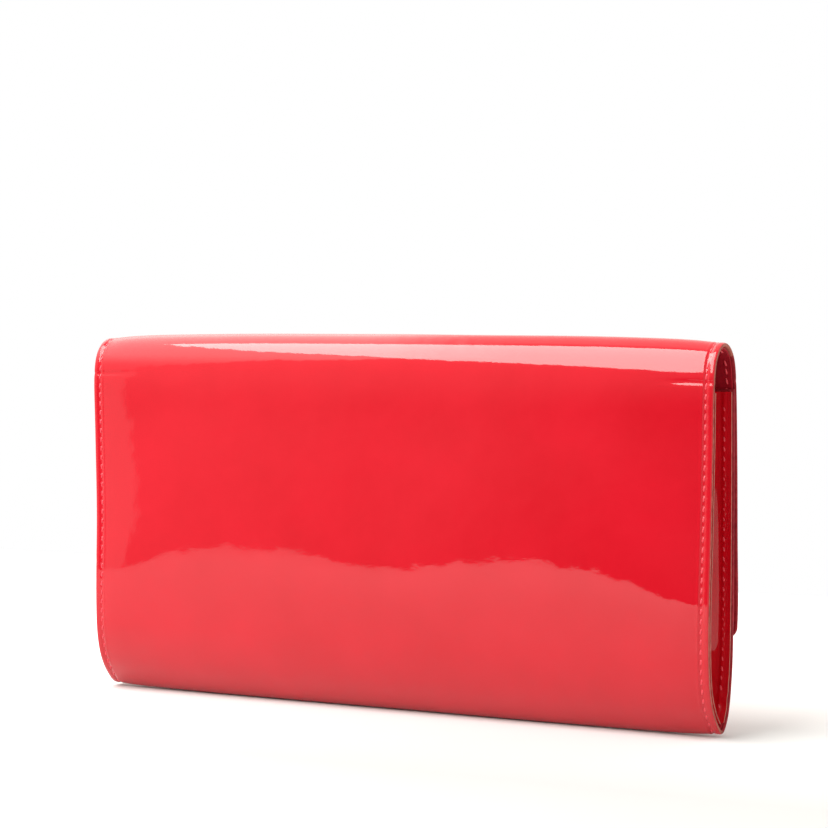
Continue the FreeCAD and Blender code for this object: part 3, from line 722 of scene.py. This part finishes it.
# ---------------------------------------------------------------- walls
def build_walls():
    """Leather, foam and lining of the flap, arch, back and front."""
    panels = dict(flap=("flap_panel",), arch=("arch_back_leather", "arch_front_leather"),
                  back=("back_panel",), front=("front_panel",))
    hole_radius = SNAP_RADIUS - 1.6 * MM
    leather = Sheet(0, END, 0, LEATHER, HALF, (True, True), CORNER, seam=True, relief=seam_groove,
                    columns=side_columns(HALF, True, 7 * MM, fine_middle=True))
    for wall, nodes in panels.items():
        start, stop = WALLS[wall][:2]
        hole = (0, SNAP, hole_radius) if wall == "front" else None
        paint = RED_EDGE if wall in ("flap", "front") else TAN_EDGE
        item = leather.piece(wall + "_leather", leather.row(start), leather.row(stop), [PATENT, paint],
                             hole=hole)
        finish_piece(item, "patent_leather", *nodes)
        bend_with(item)

    foams = dict(flap=("flap_stiffener",), arch=("arch_back_foam", "arch_front_foam"),
                 back=("back_stiffener", "base_stiffener"), front=("front_stiffener",))
    foam = Sheet(8 * MM, END - 2 * MM, LEATHER, SKIN, FOAM_REACH, (True, True), CORNER,
                 step=2 * MM, columns=side_columns(FOAM_REACH, False, 7 * MM, fine_middle=True))
    for wall, nodes in foams.items():
        start, stop = WALLS[wall][:2]
        hole = (0, SNAP, hole_radius) if wall == "front" else None
        item = foam.piece(wall + "_foam", foam.row(start), foam.row(stop), [BOARD], hole=hole)
        finish_piece(item, "board", *nodes)
        bend_with(item)

    linings = dict(flap=("flap_lining",), arch=("arch_back_lining", "arch_front_lining"),
                   back=("back_lining",), front=("front_lining",))
    inset = 1.0 * MM
    lining = Sheet(inset, END - 0.4 * MM, SKIN, WALL, HALF - inset, (True, True), CORNER, step=1.2 * MM,
                   edge_pull=SKIN - LEATHER)
    for wall, nodes in linings.items():
        start, stop = WALLS[wall][:2]
        item = lining.piece(wall + "_lining", lining.row(start), lining.row(stop), [LINING])
        finish_piece(item, "lining_fabric", *nodes)
        bend_with(item)


def build_seams():
    """The stitches of both side seams, outside and inside, one piece for each wall and side."""
    groups = dict(flap=("flap_thread_",), arch=("arch_back_thread_", "arch_front_thread_"),
                  back=("back_thread_",), front=("front_thread_",))
    first = 6 * MM
    last = END - 2 * MM
    for wall, stems in groups.items():
        start = max(WALLS[wall][0], first)
        stop = min(WALLS[wall][1], last)
        for side, word in ((1, "right"), (-1, "left")):
            places = stitch_places(side, start, stop, 0.3 * MM, 1)
            places += stitch_places(side, start, stop, WALL, -1)
            item = capsule_mesh("%s_stitches_%s" % (wall, word), places, THREAD_PAINTED_HIGHLIGHT)
            finish_piece(item, "thread", *[stem + word for stem in stems])
            bend_with(item)


build_walls()
build_seams()


# ---------------------------------------------------------------- inner parts
def wall_line(side, x, depth):
    """Heights and Y of the back or front wall at a depth, for reading Y at a height."""
    low, high = (AT["back_root"], TIP) if side == "back" else (TIP, END)
    s = np.linspace(low, high, 400)
    point, normal = section(np.full_like(s, x), s)
    spot = point + normal * (puff(np.full_like(s, x), s) - depth)[:, None]
    order = np.argsort(spot[:, 1])
    return spot[order, 1], spot[order, 0], s[order]


def station_at(z, side, x=0.0):
    """Station where the outer leather is at height z."""
    heights, _, s = wall_line(side, x, 0.0)
    return float(np.interp(z, heights, s))


def slab(name, outer, inner, uv, materials):
    """A closed sheet from two grids of points."""
    rows, columns = outer.shape[:2]
    top = np.arange(rows * columns).reshape(rows, columns)
    under = top + rows * columns
    faces = []
    for ids, flipped in ((top, False), (under, True)):
        quad = np.stack([ids[:-1, :-1], ids[:-1, 1:], ids[1:, 1:], ids[1:, :-1]], axis=-1).reshape(-1, 4)
        faces += (quad[:, ::-1] if flipped else quad).tolist()
    slots = [0] * len(faces)
    rim = np.concatenate([top[0, :-1], top[:-1, -1], top[-1, :0:-1], top[:0:-1, 0]])
    for a, b in zip(rim, np.roll(rim, -1)):
        faces.append([int(b), int(a), int(a) + rows * columns, int(b) + rows * columns])
        slots.append(len(materials) - 1)
    points = np.concatenate([outer.reshape(-1, 3), inner.reshape(-1, 3)])
    uvs = np.concatenate([uv.reshape(-1, 2)] * 2)
    item = mesh_object(name, points, faces, uvs, None, materials, slots)
    item.data.set_sharp_from_angle(angle=math.radians(50))
    return item


def rounded_path(corners, radius, count):
    """Points evenly spaced along a polyline whose corners are rounded."""
    corners = np.asarray(corners, float)
    dense = [corners[0]]
    for before, corner, after in zip(corners[:-2], corners[1:-1], corners[2:]):
        back = min(radius, np.linalg.norm(before - corner) / 2)
        ahead = min(radius, np.linalg.norm(after - corner) / 2)
        a = corner + (before - corner) / np.linalg.norm(before - corner) * back
        b = corner + (after - corner) / np.linalg.norm(after - corner) * ahead
        for t in np.linspace(0, 1, 9):
            dense.append((1 - t) ** 2 * a + 2 * t * (1 - t) * corner + t * t * b)
    dense.append(corners[-1])
    dense = np.array(dense)
    length = np.concatenate([[0], np.cumsum(np.linalg.norm(np.diff(dense, axis=0), axis=1))])
    want = np.linspace(0, length[-1], count)
    return np.stack([np.interp(want, length, dense[:, i]) for i in (0, 1)], axis=-1)


HEEL = 135 * MM                       # where a gusset turns inwards from its flanges
FOLD = GUSSET_LOW.x + 1.0 * MM        # how far in its fold lies at the mouth
GUSSET_FOOT = 5.2 * MM
CRUSHED = 22 * MM                     # height over which the foot of a gusset is crumpled


def gusset_grid(side):
    """Middle surface of one gusset's leather and the direction across it, as grids.
    Rows go up, and columns run from the back wall's flange round the fold to the front one."""
    flange = WALL - (SKIN - LEATHER) + GUSSET_SKIN / 2 + 0.1 * MM
    back_z, back_y, _ = wall_line("back", side * (HALF - 3 * MM), flange)
    front_z, front_y, _ = wall_line("front", side * (HALF - 3 * MM), flange)
    heights = np.arange(GUSSET_FOOT, GUSSET_HIGH.z, STITCH / 4)
    heights[-1] = GUSSET_HIGH.z
    full = np.interp(GUSSET_HIGH.z, back_z, back_y) - np.interp(GUSSET_HIGH.z, front_z, front_y)
    grid = []
    normal = []
    for z in heights:
        y_back = np.interp(z, back_z, back_y)
        y_front = np.interp(z, front_z, front_y)
        share = np.clip((y_back - y_front) / full, 0.02, 1.0) ** 0.7
        wobble = 0.5 * MM * math.sin(z / (11 * MM)) + 0.35 * MM * math.sin(z / (4.3 * MM) + 1)
        fold = HEEL - (HEEL - FOLD) * share + wobble * share
        lean = smoothstep(31 * MM, 36 * MM, z) * (1 - smoothstep(70 * MM, 100 * MM, z))
        middle = y_front + (y_back - y_front) * (0.38 + 0.26 * lean)
        middle += 0.3 * MM * math.sin(z / (17 * MM) + 0.7)
        edge = HALF - 0.3 * MM
        corners = [(edge, y_back), (HEEL, y_back), (fold, middle), (HEEL, y_front), (edge, y_front)]
        path = rounded_path(corners, 1.4 * MM, 121)
        along = np.gradient(path, axis=0)
        along /= np.linalg.norm(along, axis=1, keepdims=True)
        across = np.stack([-along[:, 1], along[:, 0]], axis=-1)
        crush = 1 - np.clip((z - GUSSET_FOOT) / CRUSHED, 0, 1)
        run = np.linspace(-1, 1, len(path))
        ripple = crush * 0.5 * MM * (np.sin(z / (1.7 * MM) + 3 * run) * np.sin(7 * run + z / (2.9 * MM))
                                     + 0.5 * np.sin(z / (0.9 * MM) + 11 * run))
        slack = 0.22 * MM * np.sin(z / (7.5 * MM) + 2.5 * run) * (1 - np.abs(run) ** 4)
        phase = abs((z / STITCH) % 1.0 - 0.5)
        off = path[:, 0] - (HALF - SEAM)
        dimple = 0.22 * MM + 0.25 * MM * math.exp(-((0.5 - phase) / 0.14) ** 2)
        seam = dimple * np.exp(-(off / (0.8 * MM)) ** 2)
        path = path + across * (ripple + slack + seam)[:, None]
        grid.append(np.stack([path[:, 0], path[:, 1], np.full(len(path), z)], axis=-1))
        normal.append(np.stack([across[:, 0], across[:, 1], np.zeros(len(path))], axis=-1))
    return np.array(grid), np.array(normal)


def build_gussets():
    """Side gussets folded inwards, each with its own lining on the inside."""
    half = GUSSET_SKIN / 2
    cloth = 0.5 * MM
    trim = slice(16, -16)
    for side, word in ((1, "right"), (-1, "left")):
        grid, normal = gusset_grid(side)
        outward = normal if normal[60, 60, 0] > 0 else -normal
        length = np.linspace(0, 50 * MM, grid.shape[1])
        uv = np.stack(np.broadcast_arrays(length[None, :], grid[:, :, 2]), axis=-1)
        mirror = np.array([side, 1, 1])
        order = slice(None, None, -side)
        layers = [((grid + outward * depth) * mirror)[:, order] for depth in (half, -half, -half - cloth)]
        item = slab("gusset_" + word, layers[0], layers[1], uv, [GUSSET_PAINTED_LIGHT, TAN_EDGE])
        finish_piece(item, "gusset_leather", "gusset_" + word)
        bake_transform(item)
        item = slab("gusset_lining_" + word, layers[1][:-1, trim], layers[2][:-1, trim], uv[:-1, trim],
                    [LINING])
        finish_piece(item, "lining_fabric", "gusset_lining_" + word)
        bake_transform(item)


def build_facings():
    """Leather facings inside the mouth, each with a row of stitches along its lower edge."""
    for wall, node, top in (("back", "back_facing", MOUTH), ("front", "front_facing", FRONT_TOP - 0.5 * MM)):
        ends = station_at(FACING_FOOT, wall), station_at(top, wall)
        start, stop = min(ends), max(ends)
        sheet = Sheet(start, stop, WALL, WALL + FACING, FACING_REACH, (True, True), 0.0, step=1.5 * MM,
                      columns=side_columns(FACING_REACH, False, 7 * MM))
        item = sheet.piece(node, 0, len(sheet.s) - 1, [FACING_LEATHER])
        finish_piece(item, "facing_leather", node)
        bend_with(item)
        foot = ends[0] + (2.5 * MM if wall == "front" else -2.5 * MM)
        places = []
        for x in np.arange(-FACING_REACH + 4 * MM, FACING_REACH - 3 * MM, STITCH):
            middle, along, out = wall_place(x, foot, WALL + FACING)
            pull = (SKIN - LEATHER) * margin_share(x)
            places.append((middle - out * pull, np.array([1.0, 0, 0]), -out, along))
        item = capsule_mesh(node + "_stitches", places, THREAD_PAINTED_HIGHLIGHT)
        finish_piece(item, "thread")
        bend_with(item)


def pocket_bulge(x, s, distance):
    """The pocket stands off the lining away from its sewn edges."""
    return -1.1 * MM * smoothstep(1 * MM, 24 * MM, POCKET_HIGH.x - np.abs(x))


def build_pocket():
    """The slip pocket's cloth, the binding over its mouth and its stitches."""
    start = station_at(POCKET_HIGH.z, "back")
    stop = station_at(POCKET_LOW.z, "back")
    half = POCKET_HIGH.x
    columns = side_columns(half, False, 5 * MM)

    def bulge(x, s, distance):
        return pocket_bulge(x, s, distance) * smoothstep(stop, stop - 26 * MM, s)

    cloth = Sheet(start, stop, WALL, WALL + 0.8 * MM, half, (True, True), 0.0, columns=columns,
                  step=1.6 * MM, relief=bulge)
    item = cloth.piece("slip_pocket", 0, len(cloth.s) - 1, [LINING])
    finish_piece(item, "lining_fabric", "slip_pocket")
    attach(item, "body")
    reach = half - 1.5 * MM
    tape = Sheet(start - 0.6 * MM, start + 5.0 * MM, WALL - 0.35 * MM, WALL + 1.25 * MM, reach, (True, True),
                 0.0, columns=side_columns(reach, False, 5 * MM), step=0.6 * MM, relief=bulge)
    item = tape.piece("pocket_binding", 0, len(tape.s) - 1, [BINDING])
    finish_piece(item, "binding", "pocket_binding")
    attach(item, "body")
    places = []
    inset = 2.0 * MM
    depth = WALL + 0.8 * MM
    line = half - inset
    for s in np.arange(start + 4 * MM, stop - 3 * MM, STITCH):
        for side in (1, -1):
            middle, along, out = wall_place(side * line, s, depth)
            places.append((middle, along, -out, np.array([1.0, 0, 0])))
    for x in np.arange(-line + 1 * MM, line, STITCH):
        middle, along, out = wall_place(x, stop - inset, depth)
        places.append((middle, np.array([1.0, 0, 0]), -out, along))
    for x in np.arange(-reach + 3 * MM, reach - 2 * MM, STITCH):
        middle, along, out = wall_place(x, start + 3.9 * MM, WALL + 1.2 * MM)
        off = pocket_bulge(np.array([x]), None, None)[0]
        places.append((middle + out * off, np.array([1.0, 0, 0]), -out, along))
    item = capsule_mesh("pocket_stitches", places, THREAD_PAINTED_HIGHLIGHT)
    finish_piece(item, "thread")
    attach(item, "body")


def lathe(name, outline, materials, parts=()):
    """A turned part about the snap's axis. outline is a closed loop of (radius, Y), and parts are
    boxes joined to it, each by two corners."""
    turns = 72
    outline = np.array(outline)
    points = []
    for k in range(turns):
        angle = 2 * math.pi * k / turns
        for radius, y in outline:
            points.append((radius * math.cos(angle), y, SNAP + radius * math.sin(angle)))
    count = len(outline)
    faces = []
    for k in range(turns):
        for i in range(count):
            a = k * count + i
            b = k * count + (i + 1) % count
            c = (k + 1) % turns * count + (i + 1) % count
            d = (k + 1) % turns * count + i
            faces.append([a, b, c, d])
    points = np.array(points)
    for low, high in parts:
        base = len(points)
        box = [(x, y, z) for x in (low[0], high[0]) for y in (low[1], high[1]) for z in (low[2], high[2])]
        points = np.concatenate([points, np.array(box)])
        for quad in ((0, 1, 3, 2), (4, 6, 7, 5), (0, 4, 5, 1), (2, 3, 7, 6), (0, 2, 6, 4), (1, 5, 7, 3)):
            faces.append([base + i for i in quad])
    item = mesh_object(name, points, faces, points[:, [0, 2]], None, materials, np.zeros(len(faces), int))
    mesh_tidy(item)
    item.data.set_sharp_from_angle(angle=math.radians(35))
    return item


def mesh_tidy(item):
    """Merges coincident points, drops empty faces and turns every face outwards."""
    mesh = bmesh.new()
    mesh.from_mesh(item.data)
    bmesh.ops.remove_doubles(mesh, verts=mesh.verts, dist=1e-7)
    bmesh.ops.dissolve_degenerate(mesh, edges=mesh.edges, dist=1e-7)
    bmesh.ops.recalc_face_normals(mesh, faces=mesh.faces)
    mesh.to_mesh(item.data)
    mesh.free()


def build_snap():
    """The snap's cup, stud with prongs, and the patch behind it. Outlines are in millimetres."""
    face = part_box("snap_socket")[0].y
    stud_low, stud_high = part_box("snap_stud")
    cup = [(2.9, 0.25), (3.0, 0.02), (3.3, -0.14), (5.2, -0.20), (7.2, -0.20), (8.3, -0.10), (8.9, 0.18),
           (9.0, 0.6), (9.0, 2.2), (8.9, 2.75), (8.3, 2.8), (8.7, 2.3), (8.75, 0.9), (8.3, 0.42), (3.1, 0.38)]
    outline = [(r * MM, face + y * MM) for r, y in cup]
    item = lathe("snap_socket", outline, [STEEL])
    finish_piece(item, "snap_metal", "snap_socket")
    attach(item, "front")
    tip = stud_high.y
    stud = [(0, 0), (1.2, 0), (1.75, -0.15), (2.0, -0.5), (2.0, -1.3), (2.3, -1.5), (5.0, -1.55),
            (8.3, -1.5), (8.8, -1.6), (9.0, -1.78), (8.8, -1.98), (0, -2.0)]
    outline = [(r * MM, tip + y * MM) for r, y in stud]
    prong_half = Vector((0.3 * MM, 0, 1.5 * MM))
    prongs = [(Vector((x, stud_low.y, SNAP)) - prong_half, Vector((x, tip - 1.95 * MM, SNAP)) + prong_half)
              for x in (-5 * MM, 5 * MM)]
    item = lathe("snap_stud", outline, [STEEL], prongs)
    finish_piece(item, "snap_metal", "snap_stud")
    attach(item, "flap")
    for node, material in (("snap_magnet", MAGNET), ("socket_washer", WASHER), ("stud_washer", WASHER)):
        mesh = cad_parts[node].data
        mesh.materials.clear()
        mesh.materials.append(material)
    patch_low, patch_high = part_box("socket_patch")
    start = station_at(patch_low.z, "front")
    stop = station_at(patch_high.z, "front")
    sheet = Sheet(start, stop, WALL, WALL + 0.8 * MM, patch_high.x, (True, True), 5 * MM,
                  columns=side_columns(patch_high.x, False, 3 * MM), step=1 * MM, corner_stop=5 * MM)
    item = sheet.piece("socket_patch", 0, len(sheet.s) - 1, [FACING_LEATHER])
    finish_piece(item, "facing_leather", "socket_patch")
    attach(item, "front")


build_gussets()
build_facings()
build_pocket()
build_snap()


# ---------------------------------------------------------------- studio
def floor_material():
    """Pale card, a little darker under the overhead light so that it stays evenly white."""
    nodes = Nodes("floor")
    axes = nodes.add("ShaderNodeSeparateXYZ")
    nodes.link(nodes.where(), axes.inputs[0])
    depth = nodes.add("ShaderNodeMapRange")
    depth.inputs["From Min"].default_value = -0.12
    depth.inputs["From Max"].default_value = 0.12
    nodes.link(axes.outputs["Y"], depth.inputs["Value"])
    grain = nodes.add("ShaderNodeMath", operation="MULTIPLY_ADD")
    nodes.link(nodes.noise(0.08, 3), grain.inputs[0])
    grain.inputs[1].default_value = 0.04
    nodes.link(depth.outputs["Result"], grain.inputs[2])
    nodes.link(nodes.ramp(grain.outputs[0], (0.0, (0.84, 0.84, 0.84)), (1.0, (0.47, 0.47, 0.47))),
               nodes.shader.inputs["Base Color"])
    nodes.link(nodes.spread(nodes.noise(0.02), 0.7, 0.8), nodes.shader.inputs["Roughness"])
    return nodes.material


def add_floor():
    """Reaches further on the camera's side, so that the floor fills the picture's foot."""
    corners = [(-0.9, -0.45, 0), (0.9, -0.45, 0), (0.9, 1.3, 0), (-0.9, 1.3, 0)]
    mesh = bpy.data.meshes.new("floor")
    mesh.from_pydata(corners, [], [(0, 1, 2, 3)])
    mesh.materials.append(floor_material())
    floor = bpy.data.objects.new("floor", mesh)
    bpy.context.scene.collection.objects.link(floor)


def add_panel(name, place, target, width, height, radiance):
    """A soft box: a rectangular light that shows in reflections but not to the camera."""
    data = bpy.data.lights.new(name, "AREA")
    data.shape = "RECTANGLE"
    data.size = width
    data.size_y = height
    data.energy = radiance * width * height * math.pi
    light = bpy.data.objects.new(name, data)
    light.location = place
    light.rotation_euler = (Vector(target) - Vector(place)).to_track_quat("-Z", "Y").to_euler()
    data.color = (1.0, 0.99, 0.96)
    light.visible_camera = False
    bpy.context.scene.collection.objects.link(light)


def add_world():
    """White to the camera. In reflections, a pale room on the flap's side and beyond both ends of
    the purse, and a dim one facing its back, lighter upwards and towards +X."""
    world = bpy.data.worlds.new("studio")
    world.use_nodes = True
    tree = world.node_tree

    def ramped(source, low, high, start, stop):
        node = tree.nodes.new("ShaderNodeMapRange")
        node.interpolation_type = "SMOOTHSTEP"
        for key, value in (("From Min", low), ("From Max", high), ("To Min", start), ("To Max", stop)):
            node.inputs[key].default_value = value
        tree.links.new(source, node.inputs["Value"])
        return node.outputs["Result"]

    def joined(operation, a, b):
        node = tree.nodes.new("ShaderNodeMath")
        node.operation = operation
        tree.links.new(a, node.inputs[0])
        tree.links.new(b, node.inputs[1])
        return node.outputs[0]

    def scaled(source, factor):
        node = tree.nodes.new("ShaderNodeMath")
        node.operation = "MULTIPLY"
        tree.links.new(source, node.inputs[0])
        node.inputs[1].default_value = factor
        return node.outputs[0]

    direction = tree.nodes.new("ShaderNodeSeparateXYZ")
    tree.links.new(tree.nodes.new("ShaderNodeTexCoord").outputs["Generated"], direction.inputs[0])
    x, y, z = direction.outputs
    dim = joined("ADD", ramped(x, 0.33, 0.60, 0.03, 0.40), ramped(z, -0.10, 0.22, -0.02, 0.34))
    sideways = joined("ADD", x, joined("ADD", scaled(y, -0.82), scaled(z, 0.15)))
    beyond = joined("MULTIPLY", ramped(sideways, -0.02, 0.02, 0.0, 1.0), ramped(x, 0.42, 0.50, 0.0, 1.0))
    side = joined("MULTIPLY", beyond, ramped(z, 0.25, 0.62, 1.0, 2.8))
    left = ramped(x, 0.05, -0.32, 0.0, 0.8)
    behind = ramped(y, 0.10, -0.12, 0.0, 1.1)
    level = joined("MAXIMUM", joined("MAXIMUM", dim, side), joined("MAXIMUM", behind, left))
    tint = tree.nodes.new("ShaderNodeMix")
    tint.data_type = "RGBA"
    tint.blend_type = "MULTIPLY"
    tint.inputs["Factor"].default_value = 1.0
    tint.inputs["A"].default_value = (1.0, 0.985, 0.93, 1)
    tree.links.new(level, tint.inputs["B"])
    mix = tree.nodes.new("ShaderNodeMix")
    mix.data_type = "RGBA"
    mix.inputs["B"].default_value = (1.0, 1.0, 1.0, 1)
    path = tree.nodes.new("ShaderNodeLightPath")
    tree.links.new(path.outputs["Is Camera Ray"], mix.inputs["Factor"])
    tree.links.new(tint.outputs["Result"], mix.inputs["A"])
    tree.links.new(mix.outputs["Result"], tree.nodes["Background"].inputs["Color"])
    bpy.context.scene.world = world


def add_camera():
    """A long lens at table height, aimed past the purse so that it stands low in the picture."""
    azimuth = math.radians(208.58)
    elevation = math.radians(2.44)
    distance = 1.0069
    sideways = 0.0059
    upwards = 0.044
    right = Vector((math.cos(azimuth), math.sin(azimuth), 0))
    toward = Vector((math.sin(azimuth), -math.cos(azimuth), 0)) * math.cos(elevation)
    toward.z = math.sin(elevation)
    up = toward.cross(right)
    up = -up if up.z < 0 else up
    middle = Vector((0, 0, CREST / 2)) + right * sideways + up * upwards
    data = bpy.data.cameras.new("camera")
    data.lens = 108.7
    data.sensor_width = 36
    data.clip_start = 0.05
    camera = bpy.data.objects.new("camera", data)
    camera.location = middle + toward * distance
    camera.rotation_euler = (-toward).to_track_quat("-Z", "Y").to_euler()
    bpy.context.scene.collection.objects.link(camera)
    bpy.context.scene.camera = camera


add_floor()
add_world()
add_panel("overhead", place=(0.325, 1.06, 0.95), target=(0.325, 1.06, 0), width=0.70, height=1.98,
          radiance=8.5)
add_camera()
bpy.context.scene.view_settings.view_transform = "Standard"
